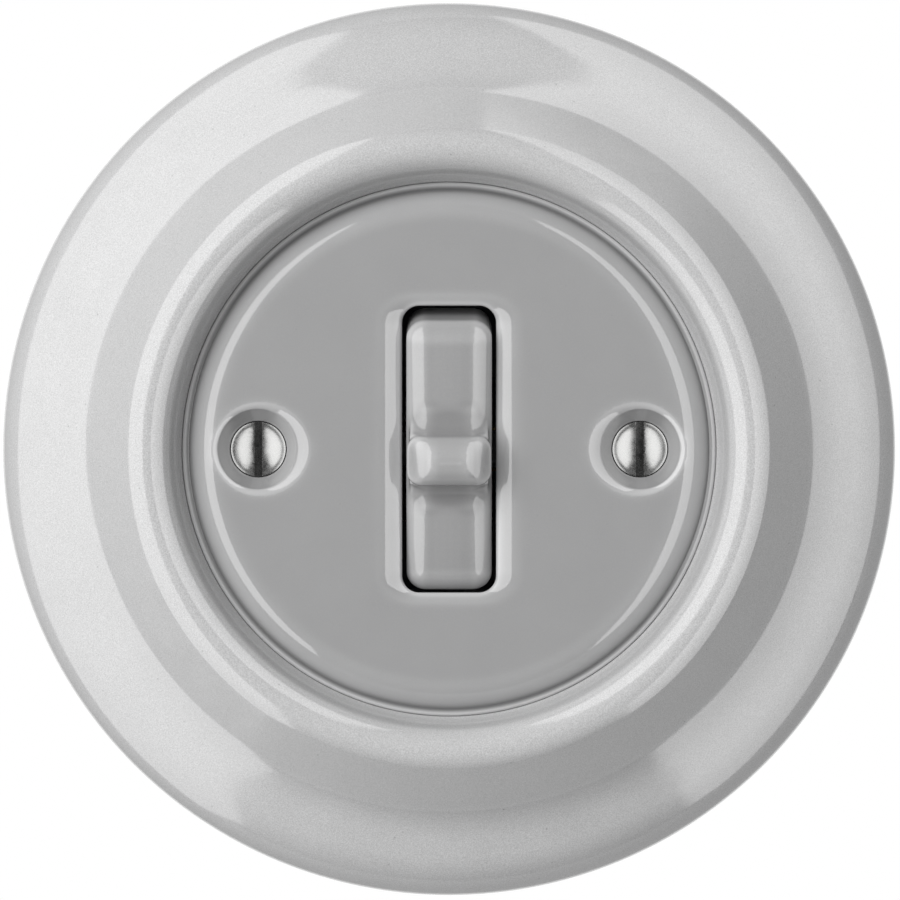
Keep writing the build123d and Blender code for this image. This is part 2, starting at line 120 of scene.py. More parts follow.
def addBox(name, low, high):
    clearSelection()
    middle = [(a + b) / 2 * mm for a, b in zip(low, high)]
    bpy.ops.mesh.primitive_cube_add(size=1, location=middle)
    piece = bpy.context.active_object
    piece.scale = [(b - a) * mm for a, b in zip(low, high)]
    piece.name = name
    bpy.ops.object.transform_apply(location=True, rotation=True, scale=True)
    return piece


def addCrossRod(name, radius, length, y=0.0, z=0.0, sides=96):
    # a round bar along X
    clearSelection()
    bpy.ops.mesh.primitive_cylinder_add(
        vertices=sides, radius=radius * mm, depth=length * mm,
        location=(0, y * mm, z * mm), rotation=(0, pi / 2, 0),
    )
    piece = bpy.context.active_object
    piece.name = name
    bpy.ops.object.transform_apply(location=True, rotation=True, scale=True)
    return piece


def arcStations(centre, radius, fromTilt, toTilt, count):
    # points of an arc as (radius, height), by the tilt of its normal
    stations = []
    for step in range(count + 1):
        lean = radians(fromTilt + (toTilt - fromTilt) * step / count)
        stations.append((centre[0] + radius * sin(lean), centre[1] + radius * cos(lean)))
    return stations


def spinSection(name, stations, steps, x=0.0):
    # draws a section by extruding one vertex along its (radius, height) stations, and spins it round
    # an axis that stands on the wall at x
    clearSelection()
    start = (x * mm + stations[0][0] * mm, -stations[0][1] * mm, 0)
    bpy.ops.mesh.primitive_plane_add(size=0.1 * mm, location=start)
    piece = bpy.context.active_object
    piece.name = name
    bpy.ops.object.transform_apply(location=True, rotation=True, scale=True)
    editMesh(piece)
    bpy.ops.mesh.select_all(action="SELECT")
    bpy.ops.mesh.merge(type="CENTER")
    for before, after in zip(stations, stations[1:]):
        step = ((after[0] - before[0]) * mm, (before[1] - after[1]) * mm, 0)
        bpy.ops.mesh.extrude_vertices_move(TRANSFORM_OT_translate={"value": step})
    bpy.ops.mesh.select_all(action="SELECT")
    bpy.ops.mesh.spin(steps=steps, angle=2 * pi, center=(x * mm, 0, 0), axis=(0, 1, 0))
    bpy.ops.mesh.select_all(action="SELECT")
    bpy.ops.mesh.remove_doubles(threshold=0.002 * mm)
    bpy.ops.mesh.normals_make_consistent(inside=False)
    leaveEdit()
    return piece


def measureGlazeAndShade(piece, rounds, reach=2.0, shortest=0.05):
    # stores how convex (towards 1) or hollow (towards 0) the surface is, for painted shade in hollows
    # and painted highlight on convex edges,
    # partly real glaze pooling and thinning: the shorter the reach, the tighter a bend has to be to
    # count, and very short edges count less
    mesh = piece.data
    count = len(mesh.vertices)
    place = np.empty(count * 3)
    normal = np.empty(count * 3)
    ends = np.empty(len(mesh.edges) * 2, dtype=int)
    mesh.vertices.foreach_get("co", place)
    mesh.vertex_normals.foreach_get("vector", normal)
    mesh.edges.foreach_get("vertices", ends)
    place, normal, ends = place.reshape(-1, 3), normal.reshape(-1, 3), ends.reshape(-1, 2)
    first, second = ends[:, 0], ends[:, 1]
    span = place[second] - place[first]
    squared = np.maximum((span**2).sum(1), (shortest * mm) ** 2)
    bend = ((normal[second] - normal[first]) * span).sum(1) / squared
    total = np.bincount(first, bend, count) + np.bincount(second, bend, count)
    shared = np.bincount(first, minlength=count) + np.bincount(second, minlength=count)
    shared = np.maximum(shared, 1)
    curve = total / shared
    for _ in range(rounds):
        total = np.bincount(first, curve[second], count) + np.bincount(second, curve[first], count)
        curve = 0.5 * curve + 0.5 * total / shared
    value = np.clip(0.5 + 0.5 * curve * reach * mm, 0, 1)
    layer = mesh.attributes.new("glazeFlowAndPaintedShade", "FLOAT", "POINT")
    layer.data.foreach_set("value", value)


# Materials, with noise scales per metre and bump heights in millimetres


def newMaterial(name):
    material = bpy.data.materials.new(name)
    material.use_nodes = True
    nodes = material.node_tree.nodes
    links = material.node_tree.links
    return material, nodes, links, nodes["Principled BSDF"]


def addNode(nodes, kind, **settings):
    node = nodes.new(kind)
    for key, value in settings.items():
        if key in node.inputs:
            node.inputs[key].default_value = value
        else:
            setattr(node, key, value)
    return node


def addNoise(nodes, links, where, scale, detail=3.0, roughness=0.55):
    noise = addNode(nodes, "ShaderNodeTexNoise", Scale=scale, Detail=detail, Roughness=roughness)
    links.new(where, noise.inputs["Vector"])
    return noise


def addRange(nodes, links, value, low, high, newLow, newHigh):
    shift = nodes.new("ShaderNodeMapRange")
    links.new(value, shift.inputs["Value"])
    shift.inputs["From Min"].default_value = low
    shift.inputs["From Max"].default_value = high
    shift.inputs["To Min"].default_value = newLow
    shift.inputs["To Max"].default_value = newHigh
    return shift.outputs["Result"]


def addMath(nodes, links, operation, first, second):
    node = nodes.new("ShaderNodeMath")
    node.operation = operation
    for socket, value in zip(node.inputs, (first, second)):
        if isinstance(value, (int, float)):
            socket.default_value = value
        else:
            links.new(value, socket)
    return node.outputs["Value"]


def addBump(nodes, links, shader, height, strength, distance):
    bump = addNode(nodes, "ShaderNodeBump", Strength=strength, Distance=distance * mm)
    links.new(height, bump.inputs["Height"])
    links.new(bump.outputs["Normal"], shader.inputs["Normal"])


def tintFrom(nodes, links, shader, colour, factor):
    # one colour made lighter and darker by a factor from the nodes
    scale = nodes.new("ShaderNodeVectorMath")
    scale.operation = "SCALE"
    scale.inputs[0].default_value = colour
    links.new(factor, scale.inputs["Scale"])
    links.new(scale.outputs["Vector"], shader.inputs["Base Color"])


def spreadNoise(nodes, links, noise, low, high):
    # nearly all of a noise lies between 0.3 and 0.7, which is spread from low to high here
    return addRange(nodes, links, noise.outputs["Fac"], 0.3, 0.7, low, high)


# grain and edge are how far the colour goes to both sides, and pit is its level in a pore;
# edge is painted shade in hollows and painted highlight on convex edges, partly real glaze pooling
glazeLook = {
    "frameGlaze": {"colour": (0.54, 0.54, 0.542), "grain": 0.17, "pit": 0.72, "roughness": 0.10,
                   "ior": 1.75},
    "plateGlaze": {"colour": (0.345, 0.345, 0.347), "grain": 0.02, "edge": 0.55, "pit": 0.96,
                   "roughness": 0.05, "ior": 1.9},
    "toggleGlaze": {"colour": (0.325, 0.325, 0.327), "grain": 0.03, "edge": 0.6, "pit": 0.96,
                    "roughness": 0.05, "ior": 1.75},
}
glazeBody = {
    "grainScale": 8500.0, "grainDetail": 1.5, "grainRoughness": 0.6,
    "cloudScale": 160.0, "cloud": 0.015, "glossSpread": 0.05,
    "poreScale": 420.0, "poreRadius": (0.03, 0.06),
    "rippleScale": 420.0, "rippleDetail": 2.0, "rippleStrength": 0.05, "rippleHeight": 0.06,
}


def glaze(name):
    look, body = glazeLook[name], glazeBody
    material, nodes, links, shader = newMaterial(name)
    where = nodes.new("ShaderNodeTexCoord").outputs["Object"]
    grainKind = (body["grainScale"], body["grainDetail"], body["grainRoughness"])
    grain = addNoise(nodes, links, where, *grainKind)
    cloud = addNoise(nodes, links, where, body["cloudScale"])
    speckle = spreadNoise(nodes, links, grain, 1 - look["grain"], 1 + look["grain"])
    mottle = spreadNoise(nodes, links, cloud, 1 - body["cloud"], 1 + body["cloud"])
    factor = addMath(nodes, links, "MULTIPLY", speckle, mottle)
    pores = addNode(nodes, "ShaderNodeTexVoronoi", Scale=body["poreScale"])
    links.new(where, pores.inputs["Vector"])
    pit = addRange(nodes, links, pores.outputs["Distance"], *body["poreRadius"], look["pit"], 1.0)
    factor = addMath(nodes, links, "MULTIPLY", factor, pit)
    # painted shade in hollows and painted highlight on convex edges, partly real glaze pooling and
    # thinning
    if "edge" in look:
        curveShadeInput = addNode(nodes, "ShaderNodeAttribute", attribute_name="glazeFlowAndPaintedShade")
        low, high = 1 - look["edge"], 1 + look["edge"]
        paintedCurveShade = addRange(nodes, links, curveShadeInput.outputs["Fac"], 0, 1, low, high)
        factor = addMath(nodes, links, "MULTIPLY", factor, paintedCurveShade)
    tintFrom(nodes, links, shader, look["colour"], factor)
    smooth, dull = look["roughness"], look["roughness"] + body["glossSpread"]
    gloss = spreadNoise(nodes, links, cloud, smooth, dull)
    links.new(gloss, shader.inputs["Roughness"])
    shader.inputs["IOR"].default_value = look["ior"]
    ripple = addNoise(nodes, links, where, body["rippleScale"], body["rippleDetail"])
    addBump(nodes, links, shader, ripple.outputs["Fac"], body["rippleStrength"], body["rippleHeight"])
    return material


metalLook = {
    "nickel": {"colour": (0.43, 0.43, 0.425), "roughness": 0.27, "grainScale": 2600.0,
               "paintedShade": "slotPaintedShade"},
    "zincSteel": {"colour": (0.62, 0.63, 0.64), "roughness": 0.38, "grainScale": 500.0,
                  "stretch": (1, 1, 9)},
    "groundSteel": {"colour": (0.60, 0.60, 0.61), "roughness": 0.25, "grainScale": 900.0,
                    "stretch": (8, 1, 1)},
    "brass": {"colour": (0.78, 0.60, 0.30), "roughness": 0.3, "grainScale": 700.0},
    "silver": {"colour": (0.86, 0.86, 0.84), "roughness": 0.24, "grainScale": 900.0},
}
# the last two set the painted shade in the screw slots: its patchiness and how dark it gets
metalBody = {
    "stainScale": 130.0, "shade": (0.93, 1.06), "stain": (0.94, 1.04), "glossSpread": 0.07,
    "bumpStrength": 0.12, "bumpHeight": 0.02, "slotShadeGrain": (0.55, 1.15), "slotShadeDark": 0.12,
}


def metal(name):
    look, body = metalLook[name], metalBody
    material, nodes, links, shader = newMaterial(name)
    where = nodes.new("ShaderNodeTexCoord").outputs["Object"]
    mapping = addNode(nodes, "ShaderNodeMapping", Scale=look.get("stretch", (1, 1, 1)))
    links.new(where, mapping.inputs["Vector"])
    grain = addNoise(nodes, links, mapping.outputs["Vector"], look["grainScale"], 4.0)
    stain = addNoise(nodes, links, where, body["stainScale"])
    shade = spreadNoise(nodes, links, grain, *body["shade"])
    dull = spreadNoise(nodes, links, stain, *body["stain"])
    factor = addMath(nodes, links, "MULTIPLY", shade, dull)
    if "paintedShade" in look:
        # the painted shade of the slots lies in patches that follow the grain
        held = addNode(nodes, "ShaderNodeAttribute", attribute_name=look["paintedShade"])
        patchy = addRange(nodes, links, grain.outputs["Fac"], 0.35, 0.65, *body["slotShadeGrain"])
        paintedShade = addMath(nodes, links, "MULTIPLY", held.outputs["Fac"], patchy)
        darker = addRange(nodes, links, paintedShade, 0, 1, 1.0, body["slotShadeDark"])
        factor = addMath(nodes, links, "MULTIPLY", factor, darker)
    tintFrom(nodes, links, shader, look["colour"], factor)
    shader.inputs["Metallic"].default_value = 1.0
    spread = body["glossSpread"]
    gloss = spreadNoise(nodes, links, grain, look["roughness"] - spread, look["roughness"] + spread)
    links.new(gloss, shader.inputs["Roughness"])
    addBump(nodes, links, shader, grain.outputs["Fac"], body["bumpStrength"], body["bumpHeight"])
    return material


mouldingLook = {
    "baseMoulding": {"colour": (0.80, 0.79, 0.75), "roughness": 0.42},
    "carrierMoulding": {"colour": (0.045, 0.045, 0.05), "roughness": 0.40},
    "bridgeMoulding": {"colour": (0.055, 0.055, 0.06), "roughness": 0.45},
}
mouldingBody = {
    "grainScale": 1500.0, "cloudScale": 90.0, "cloud": 0.05, "glossSpread": 0.06,
    "bumpStrength": 0.15, "bumpHeight": 0.03,
}


def moulding(name):
    look, body = mouldingLook[name], mouldingBody
    material, nodes, links, shader = newMaterial(name)
    where = nodes.new("ShaderNodeTexCoord").outputs["Object"]
    grain = addNoise(nodes, links, where, body["grainScale"], 4.0)
    cloud = addNoise(nodes, links, where, body["cloudScale"])
    shade = spreadNoise(nodes, links, cloud, 1 - body["cloud"], 1 + body["cloud"])
    tintFrom(nodes, links, shader, look["colour"], shade)
    spread = body["glossSpread"]
    gloss = spreadNoise(nodes, links, grain, look["roughness"] - spread, look["roughness"] + spread)
    links.new(gloss, shader.inputs["Roughness"])
    addBump(nodes, links, shader, grain.outputs["Fac"], body["bumpStrength"], body["bumpHeight"])
    return material


finish = {name: glaze(name) for name in glazeLook}
finish.update({name: metal(name) for name in metalLook})
finish.update({name: moulding(name) for name in mouldingLook})
print("materials ready")


# The frame ring, drawn as a section of (radius, height) stations

frameRing = {
    "wellRadius": 30.0, "seatHeight": 9.5, "flangeRadius": 26.5, "flangeThickness": 3.5,
    "throatTilt": 75.0, "lipOffset": 3.4, "lipRound": 2.6, "height": 17.5,
    "slopeTilt": 56.0, "slopeWidth": 4.13, "coveRound": 8.4, "brimTilt": 22.0, "brimWidth": 1.88,
    "edgeRound": 7.4, "footWidth": 5.0, "wall": 4.0,
    # the glaze that fills the foot of the throat, nearly up to the plate's edge
    "glazeRadius": 29.63, "glazeHeight": 11.0, "glazeChamfer": (0.06, 0.17), "glazeReach": 0.38,
    "glazeBow": 0.65, "glazeSteps": 6,
    "lipSteps": 26, "coveSteps": 16, "edgeSteps": 22, "turnSteps": 256, "smoothAngle": 30,
}


def downSlope(start, run, tilt):
    # the lower end of a straight stretch
    return (start[0] + run, start[1] - run * tan(radians(tilt)))


def besideArc(station, radius, tilt):
    # the centre of an arc that starts or ends at a station with the given tilt
    lean = radians(tilt)
    return (station[0] + radius * sin(lean), station[1] + radius * cos(lean))


def throatGlaze(throatTop):
    # from the seat up along the plate's edge, then in a bow to the throat's own slope
    v = frameRing
    steep = tan(radians(v["throatTilt"]))
    slopeStart = throatTop[1] - (throatTop[0] - v["wellRadius"]) * steep
    foot = v["glazeRadius"]
    inward, upward = v["glazeChamfer"]
    low = (foot + inward, v["glazeHeight"] + upward)
    high = (v["wellRadius"] + v["glazeReach"], slopeStart + v["glazeReach"] * steep)
    stations = [(foot, v["seatHeight"]), (foot, v["glazeHeight"]), low]
    for step in range(1, v["glazeSteps"] + 1):
        share = step / v["glazeSteps"]
        rise = (1 - v["glazeBow"]) * share + v["glazeBow"] * share**2
        stations.append((low[0] + (high[0] - low[0]) * share, low[1] + (high[1] - low[1]) * rise))
    return stations


def makeFrameRing():
    v = frameRing
    lip = (v["wellRadius"] + v["lipOffset"], v["height"] - v["lipRound"])
    lipLine = arcStations(lip, v["lipRound"], -v["throatTilt"], v["slopeTilt"], v["lipSteps"])
    slopeFoot = downSlope(lipLine[-1], v["slopeWidth"], v["slopeTilt"])
    cove = besideArc(slopeFoot, v["coveRound"], v["slopeTilt"])
    coveLine = arcStations(cove, -v["coveRound"], v["slopeTilt"], v["brimTilt"], v["coveSteps"])
    brimTop = coveLine[-1]
    brimFoot = downSlope(brimTop, v["brimWidth"], v["brimTilt"])
    edge = besideArc(brimFoot, -v["edgeRound"], v["brimTilt"])
    wallTilt = degrees(acos(-edge[1] / v["edgeRound"]))  # where the rounded edge meets the wall
    edgeLine = arcStations(edge, v["edgeRound"], v["brimTilt"], wallTilt, v["edgeSteps"])
    # the hollow behind, one wall's thickness under the slope and the brim
    slopeFall, brimFall = tan(radians(v["slopeTilt"])), tan(radians(v["brimTilt"]))
    slopeRoof = slopeFoot[1] - v["wall"] / cos(radians(v["slopeTilt"]))
    brimRoof = brimTop[1] - v["wall"] / cos(radians(v["brimTilt"]))
    bend = slopeRoof - brimRoof + slopeFoot[0] * slopeFall - brimTop[0] * brimFall
    bend /= slopeFall - brimFall
    hollow = v["wellRadius"] + v["wall"]
    footInner = edgeLine[-1][0] - v["footWidth"]
    under = v["seatHeight"] - v["flangeThickness"]
    section = [(v["flangeRadius"], under), (v["flangeRadius"], v["seatHeight"])]
    section += throatGlaze(lipLine[0]) + lipLine + [slopeFoot] + coveLine[1:] + edgeLine
    section += [
        (footInner, 0.0),
        (footInner, brimRoof - (footInner - brimTop[0]) * brimFall),
        (bend, brimRoof - (bend - brimTop[0]) * brimFall),
        (hollow, slopeRoof + (slopeFoot[0] - hollow) * slopeFall),
        (hollow, under),
        (v["flangeRadius"], under),
    ]
    ring = spinSection("frameRing", section, v["turnSteps"])
    settle(ring, "frameRing", v["smoothAngle"])
    dress(ring, "base", "frame_glaze", finish["frameGlaze"], "outer_frame")


makeFrameRing()
print("frame ring made")


# The cover plate, made flat in rings and domed at the end

coverPlate = {
    "radius": 29.6, "faceHeight": 13.6, "domeRadius": 700.0, "underside": 8.8,
    "shoulderRound": 3.8, "shoulderTilt": 52.0, "bevelWidth": 0.25, "bevelEase": (0.06, 0.04),
    "lipWidth": 0.75, "lipRound": 0.45, "seatHeight": 9.5, "spigotRadius": 26.2,
    "openingWidth": 10.4, "openingLength": 31.75, "cornerRound": 1.9,
    "sideRim": 2.8, "endRim": 1.4, "rimTurn": 27.0, "rimShare": 0.84,
    "screwX": 21.13, "cupSeat": 10.6, "cupHole": 1.75, "boreRadius": 3.15, "boreDepth": 1.35,
    "cupOuter": (5.2, 0.9, 62.0), "cupInner": (6.0, 2.6, 50.0),  # mouth, rim rounding and tilt
    "cupFlare": 4.0, "cupRun": 0.3, "cupBlend": 4, "cupSteps": 11, "cupTurnSteps": 96,
    "longSteps": 62, "cornerSteps": 14, "shortSteps": 20, "shoulderSteps": 10, "lipSteps": 6,
    "faceRings": 34, "rimRings": 14, "wallRings": 3, "ringShrink": 0.97,
    "smoothAngle": 32, "curveRounds": 6,
}


def flatHeight(radius, height):
    # the height before the plate is domed, for a station that ends at the given height
    v = coverPlate
    share = radius**2 / (2 * v["domeRadius"]) / (v["faceHeight"] - v["underside"])
    return (height - v["underside"] * share) / (1 - share)


def quarterSteps():
    return sum(coverPlate[key] for key in ("longSteps", "cornerSteps", "shortSteps"))


def openingPoint(number, rimShare):
    # a point of the opening's outline, by its number round the plate and its share of the rim's
    # width, with the width of the rim there
    v = coverPlate
    quarter = quarterSteps()
    side, along = divmod(number % (4 * quarter), quarter)
    if side in (1, 3):
        along = quarter - along
    corner = v["cornerRound"]
    cornerX = v["openingWidth"] / 2 - corner
    cornerZ = v["openingLength"] / 2 - corner
    turn = radians(90 * min(max((along - v["longSteps"]) / v["cornerSteps"], 0), 1))
    straightX = cornerX * min((quarter - along) / v["shortSteps"], 1)
    straightZ = cornerZ * min(along / v["longSteps"], 1)
    x = straightX + (corner + v["sideRim"] * rimShare) * cos(turn)
    z = straightZ + (corner + v["endRim"] * rimShare) * sin(turn)
    rim = v["sideRim"] * cos(turn) ** 2 + v["endRim"] * sin(turn) ** 2
    return (-x if side in (1, 2) else x), (-z if side in (2, 3) else z), rim


def rimPoint(share):
    # the rim's section, of one width: a shallow arc and then a tight one, as reach and fall
    v = coverPlate
    bend, wide = radians(v["rimTurn"]), v["rimShare"] / sin(radians(v["rimTurn"]))
    tight = (1 - v["rimShare"]) / (1 - sin(bend))
    if share < 0.5:
        turn = bend * 2 * share
        return 1 - wide * sin(turn), wide * (1 - cos(turn))
    turn = bend + (radians(90) - bend) * (2 * share - 1)
    return tight * (1 - sin(turn)), wide * (1 - cos(bend)) + tight * (cos(bend) - cos(turn))


def plateEdgeLine():
    # the plate outside its flat face: shoulder, bevel, thin lip, seat and spigot
    v = coverPlate
    lipInner = v["radius"] - v["lipWidth"]
    shoulderFoot = lipInner - v["bevelWidth"]
    shoulderX = shoulderFoot - v["shoulderRound"] * sin(radians(v["shoulderTilt"]))
    inner = v["domeRadius"] - v["shoulderRound"]
    domeTilt = degrees(asin(shoulderX / inner))
    shoulder = (shoulderX, v["faceHeight"] - v["domeRadius"] + sqrt(inner**2 - shoulderX**2))
    line = arcStations(shoulder, v["shoulderRound"], domeTilt, v["shoulderTilt"], v["shoulderSteps"])
    lipHeight = line[-1][1] - v["bevelWidth"] * tan(radians(v["shoulderTilt"]))
    beside, above = v["bevelEase"]
    line += [(lipInner - beside, lipHeight + above), (lipInner + beside, lipHeight)]
    lip = (v["radius"] - v["lipRound"], lipHeight - v["lipRound"])
    line += arcStations(lip, v["lipRound"], 0, 90, v["lipSteps"])
    line += [(v["radius"], v["seatHeight"]), (v["spigotRadius"], v["seatHeight"])]
    line += [(v["spigotRadius"], v["underside"])]
    return [(radius, flatHeight(radius, height)) for radius, height in line]


def cupProfile(mouth, rimRound, steepest):
    # one side of a screw cup, from its hole up to the face, with a rim of the given rounding
    v = coverPlate
    low, high, seat = v["underside"] - past, v["faceHeight"] + past, v["cupSeat"]
    line = [(0.0, low), (v["cupHole"], low), (v["cupHole"], seat)]
    line += [(v["boreRadius"], seat), (v["boreRadius"], seat + v["boreDepth"])]
    for step in range(v["cupSteps"] + 1):
        turn = radians(steepest + (v["cupFlare"] - steepest) * step / v["cupSteps"])
        line.append((mouth - rimRound * sin(turn), v["faceHeight"] - rimRound * (1 - cos(turn))))
    rise = v["cupRun"] * tan(radians(v["cupFlare"]))
    line.append((line[-1][0] + v["cupRun"], line[-1][1] + rise))
    return line + [(line[-1][0], high), (0.0, high)]


def makeCupCutter(side):
    # the space of one screw cup, which opens wider and softer towards the middle of the plate
    v = coverPlate
    outer = cupProfile(*v["cupOuter"])
    inner = cupProfile(*v["cupInner"])
    middle = side * v["screwX"]
    cutter = spinSection("cupCutter", outer, v["cupTurnSteps"], middle)
    for vertex in cutter.data.vertices:
        x, z = vertex.co.x / mm - middle, vertex.co.z / mm
        radius, height = sqrt(x**2 + z**2), -vertex.co.y / mm
        if radius < nearly:
            continue
        misses = [abs(there[0] - radius) + abs(there[1] - height) for there in outer]
        station = misses.index(min(misses))
        share = ((1 - side * x / radius) / 2) ** v["cupBlend"]
        newRadius, newHeight = (
            out * (1 - share) + into * share for out, into in zip(outer[station], inner[station])
        )
        vertex.co.x = (middle + x * (newRadius / radius)) * mm
        vertex.co.z = z * (newRadius / radius) * mm
        vertex.co.y = -newHeight * mm
    return cutter


def shapeFace(plate, faceRadius, sides):
    # moves each ring's points from the round face to the opening's rim, and on down its wall
    v = coverPlate
    for vertex in plate.data.vertices:
        place = vertex.co
        radius = sqrt(place.x**2 + place.z**2)
        ring = round(log(radius / (faceRadius * mm)) / log(v["ringShrink"]))
        number = round(atan2(place.z, place.x) / (2 * pi) * sides) % sides
        if ring == 0:
            continue
        rim = min(max(ring - v["faceRings"], 0), v["rimRings"]) / v["rimRings"]
        wall = max(ring - v["faceRings"] - v["rimRings"], 0) / v["wallRings"]
        reach, fall = rimPoint(rim)
        x, z, rimWidth = openingPoint(number, reach)
        depth = v["faceHeight"] - rimWidth * rimPoint(1)[1] - v["underside"]
        share = min(ring / v["faceRings"], 1)
        vertex.co.x = place.x / radius * faceRadius * mm * (1 - share) + x * mm * share
        vertex.co.z = place.z / radius * faceRadius * mm * (1 - share) + z * mm * share
        vertex.co.y = (fall * rimWidth + depth * wall - v["faceHeight"]) * mm


def domePlate(plate):
    # the underside stays flat, and what lies between follows in its share
    v = coverPlate
    span = (v["faceHeight"] - v["underside"]) * mm
    for vertex in plate.data.vertices:
        share = (-vertex.co.y - v["underside"] * mm) / span
        drop = (vertex.co.x**2 + vertex.co.z**2) / (2 * v["domeRadius"] * mm)
        vertex.co.y += drop * max(share, 0)


def makeCoverPlate():
    v = coverPlate
    line = plateEdgeLine()
    faceRadius, faceHeight = line[0]
    sides = 4 * quarterSteps()
    clearSelection()
    bpy.ops.mesh.primitive_circle_add(
        vertices=sides, radius=faceRadius * mm,
        location=(0, -faceHeight * mm, 0), rotation=(pi / 2, 0, 0),
    )
    plate = bpy.context.active_object
    bpy.ops.object.transform_apply(location=True, rotation=True, scale=True)
    editMesh(plate, "EDGE")
    bpy.ops.mesh.select_all(action="SELECT")
    # inwards: the face's rings, the rim's rings and the opening's wall
    shrink = v["ringShrink"]
    for _ in range(v["faceRings"] + v["rimRings"] + v["wallRings"]):
        bpy.ops.mesh.extrude_edges_move()
        bpy.ops.transform.resize(value=(shrink, 1, shrink), center_override=(0, 0, 0))
    leaveEdit()
    shapeFace(plate, faceRadius, sides)
    # outwards: the shoulder and the lip, and on to the underside
    selectEdges(plate, lambda *ends: all(
        abs(sqrt(end.x**2 + end.z**2) - faceRadius) < nearly and abs(end.y + faceHeight) < nearly
        for end in ends
    ))
    for before, after in zip(line, line[1:]):
        grow = after[0] / before[0]
        bpy.ops.mesh.extrude_edges_move()
        bpy.ops.transform.resize(value=(grow, 1, grow), center_override=(0, 0, 0))
        bpy.ops.transform.translate(value=(0, (before[1] - after[1]) * mm, 0))
    bpy.ops.mesh.select_all(action="DESELECT")
    bpy.ops.mesh.select_non_manifold(extend=False, use_wire=False, use_boundary=True)
    bpy.ops.mesh.bridge_edge_loops()
    bpy.ops.mesh.select_all(action="SELECT")
    bpy.ops.mesh.normals_make_consistent(inside=False)
    leaveEdit()
    for side in (-1, 1):
        cutWith(plate, makeCupCutter(side))
    domePlate(plate)
    settle(plate, "coverPlate", v["smoothAngle"])
    weighted = plate.modifiers.new("normals", "WEIGHTED_NORMAL")
    weighted.keep_sharp = True
    applyModifiers(plate)
    measureGlazeAndShade(plate, v["curveRounds"])
    dress(plate, "base", "plate_glaze", finish["plateGlaze"], "cover_plate")


makeCoverPlate()
print("cover plate made")


# The toggle, measured from its pivot as it lies untilted

toggleBar = {
    "tilt": 7.0, "pivotHeight": 6.5, "width": 9.5, "endReach": 15.5, "endLean": 0.1, "underside": 1.8,
    "crown": 8.75, "crownRadius": 74.0, "crossRadius": 18.0, "crossReach": 1.75,
    "cornerRound": 2.1, "shoulderRound": 2.2, "skirt": -0.8, "skirtInner": 13.0,
    "rollCentre": 10.4, "rollRadius": 2.73, "rollWidth": 9.3, "rollEndRound": 1.5,
    "rollFall": 0.225, "rollFlat": 1.5,
    "neckRound": 3.0, "neckWidth": 8.7, "neckFlat": 2.2, "neckFall": 0.3, "neckRoot": 1.5,
    "neckSink": 2.0,  # how deep below the face the softening goes
    "groove": 2.2, "socket": (5.0, 20.0, 3.5),
    "roundSteps": 10, "barRows": (0.8, 0.9), "rollRows": 0.6, "neckRows": 0.5, "voxel": 0.13,
    "evenRounds": 20, "blendEdge": 0.8, "blendRounds": 60, "smoothAngle": 60, "curveRounds": 8,
}


def bisectRows(piece, axis, reach, spacing):
    # cuts rows of edges across a piece, for a later bend to follow
    editMesh(piece)
    offset = 0.31  # keeps the rows off the edges that are there
    count = int(reach / spacing)
    for row in range(-count, count + 1):
        bpy.ops.mesh.select_all(action="SELECT")
        place = [0, 0, 0]
        direction = [0, 0, 0]
        place[axis] = (row + offset) * spacing * mm
        direction[axis] = 1
        bpy.ops.mesh.bisect(plane_co=place, plane_no=direction)
    leaveEdit()


def roundEdges(piece, width, test):
    selectEdges(piece, test)
    bpy.ops.mesh.bevel(offset=width * mm, segments=toggleBar["roundSteps"], affect="EDGES")


def smoothWith(piece, name, rounds, group=""):
    modifier = piece.modifiers.new(name, "SMOOTH")
    modifier.factor = 0.5
    modifier.iterations = rounds
    modifier.vertex_group = group


def makeBar():
    # a block with rounded corners, crowned along and across, and hollow below between its ends
    v = toggleBar
    half, reach = v["width"] / 2, v["endReach"]
    bar = addBox("bar", (-half, -v["crown"], -reach), (half, -v["skirt"], reach))
    editMesh(bar, "EDGE")
    roundEdges(bar, v["cornerRound"], lambda first, second: abs(second.y - first.y) > nearly)
    roundEdges(bar, v["shoulderRound"], lambda *ends: all(
        abs(end.y + v["crown"]) < nearly for end in ends
    ))
    leaveEdit()
    bisectRows(bar, 2, reach, v["barRows"][1])
    bisectRows(bar, 0, half, v["barRows"][0])
    for vertex in bar.data.vertices:
        place = vertex.co / mm
        rise = -place.y
        share = max((rise - v["underside"]) / (v["crown"] - v["underside"]), 0)
        z = place.z * (1 - v["endLean"] * (rise - v["underside"]) / reach)
        x = min(abs(place.x), v["crossReach"])
        across = (x**2 / 2 + (abs(place.x) - x) * x) / v["crossRadius"]
        drop = across + z**2 / (2 * v["crownRadius"])
        vertex.co.z = z * mm
        vertex.co.y += drop * share * mm
    low = (-half - past, -v["underside"], -v["skirtInner"])
    high = (half + past, -v["skirt"] + past, v["skirtInner"])
    cutWith(bar, addBox("hollow", low, high))
    return bar


def makeRoll():
    # the bar across, with rounded ends and its front softly crowned along it
    v = toggleBar
    roll = addCrossRod("roll", v["rollRadius"], v["rollWidth"])
    editMesh(roll, "EDGE")
    roundEdges(roll, v["rollEndRound"], lambda first, second: abs(second.x - first.x) < nearly)
    leaveEdit()
    bisectRows(roll, 0, v["rollWidth"] / 2, v["rollRows"])
    for vertex in roll.data.vertices:
        front = max(-vertex.co.y / (v["rollRadius"] * mm), 0)
        drop = v["rollFall"] * max(abs(vertex.co.x / mm) - v["rollFlat"], 0) ** 2
        vertex.co.y += (drop * front - v["rollCentre"]) * mm
    return roll


def neckHeights():
    # the bar's face beside the roll, and the middle of the hollow rounding that runs up to the roll
    v = toggleBar
    face = v["crown"] - (v["rollRadius"] + v["neckRound"]) ** 2 / (2 * v["crownRadius"])
    return face, face + v["neckRound"]


